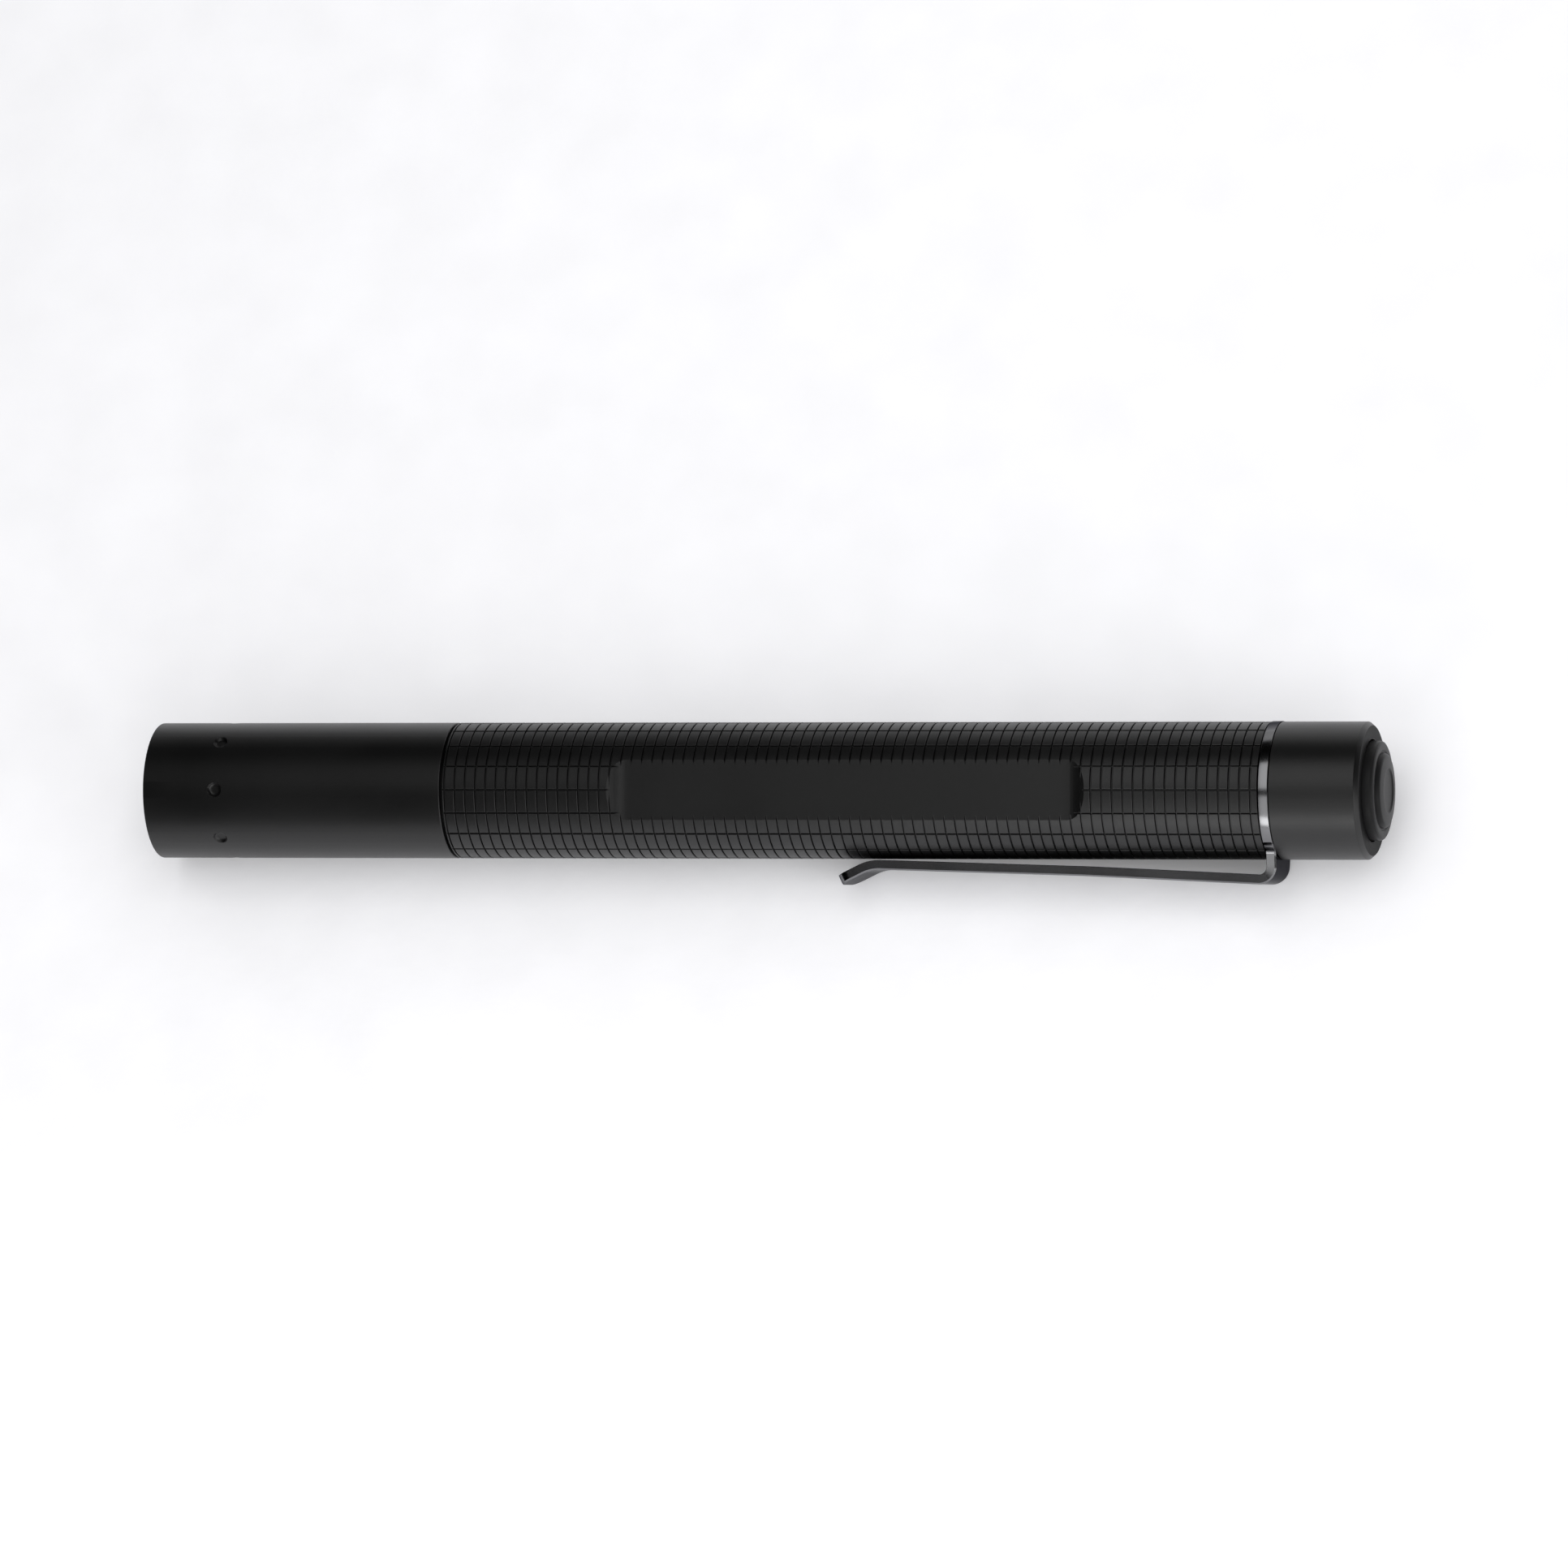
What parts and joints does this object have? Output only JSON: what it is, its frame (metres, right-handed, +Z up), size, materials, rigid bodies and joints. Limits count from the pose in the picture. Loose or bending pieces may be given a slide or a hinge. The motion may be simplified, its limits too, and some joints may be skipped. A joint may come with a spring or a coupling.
{
  "type": "pocket penlight",
  "caption": "Slim black pocket penlight with a push-pull focusing head, grooved grip with a milled side flat, sprung pocket clip and screw-on tail cap with push-button.",
  "frame": {"origin": "middle of the box's underside: the light lies on a surface at z = 0, touching it along the tube and at the clip's corner", "axes": "+X along the tube from the lens end to the push-button; +Z up off the surface; the clip reaches out towards -Y and slightly down, and the milled flat faces up and towards -Y"},
  "size_m": [0.1304, 0.017, 0.0141],
  "materials": {
    "black_anodised": "satin black anodised",
    "black_clip_steel": "satin black coating over spring steel",
    "button_black": "satin black anodised",
    "lens_glass": "clear, polished",
    "seal_rubber": "matt",
    "brass": "turned",
    "nickel": "nickel plated",
    "board_white": "white solder mask",
    "phosphor": "clear silicone over yellow phosphor",
    "board_green": "green solder mask",
    "black_plastic": "moulded",
    "cell_jacket": "plain printed film over the can"
  },
  "bodies": {
    "tube": {"battery_tube": "black_anodised", "front_sleeve": "black_anodised", "sleeve_oring": "seal_rubber", "led_heatsink": "brass", "led_board": "board_white", "led_package": "board_white", "led_dome": "phosphor", "driver_board": "board_green", "driver_inductor": "black_plastic", "front_contact": "brass", "cell_front_can": "cell_jacket", "cell_front_terminal": "nickel", "cell_rear_can": "cell_jacket", "cell_rear_terminal": "nickel", "clip_ring": "black_clip_steel"},
    "head": {"head_shell": "black_anodised", "lens": "lens_glass", "lens_gasket": "seal_rubber", "lens_ring": "black_anodised"},
    "clip_arm": {"clip_arm": "black_clip_steel"},
    "tail_contact": {"tail_spring": "nickel"},
    "tail_cap": {"tail_cap": "black_anodised", "cap_oring": "seal_rubber", "switch_ring": "brass", "switch_board": "board_green", "switch_housing": "black_plastic", "switch_contact": "brass"},
    "button": {"button": "button_black", "button_plunger": "black_plastic", "button_spring": "nickel"}
  },
  "joints": [
    {"name": "head_focus", "type": "slide", "parent": "tube", "child": "head", "axis": [-1, 0, 0], "range_m": [0, 0.006]},
    {"name": "clip_flex", "type": "hinge", "parent": "tube", "child": "clip_arm", "pos_m": [0.05233, -0.00659, 0.003], "axis": [0, -0.4484, 0.8938], "range_deg": [0, 4], "stiffness_Nm_per_rad": 5},
    {"name": "tail_cap_advance", "type": "slide", "parent": "tube", "child": "tail_contact", "axis": [1, 0, 0], "range_m": [0, 0.0097]},
    {"name": "tail_cap_turn", "type": "hinge", "parent": "tail_contact", "child": "tail_cap", "pos_m": [0.05985, 0.00146, 0.00704], "axis": [1, 0, 0], "range_deg": [0, 3456]},
    {"name": "button_press", "type": "slide", "parent": "tail_cap", "child": "button", "axis": [-1, 0, 0], "range_m": [0, 0.0011], "stiffness_N_per_m": 3500}
  ],
  "couplings": [
    {"joint": "tail_cap_advance", "follows": "tail_cap_turn", "m_per_rad": 0.00015915}
  ]
}
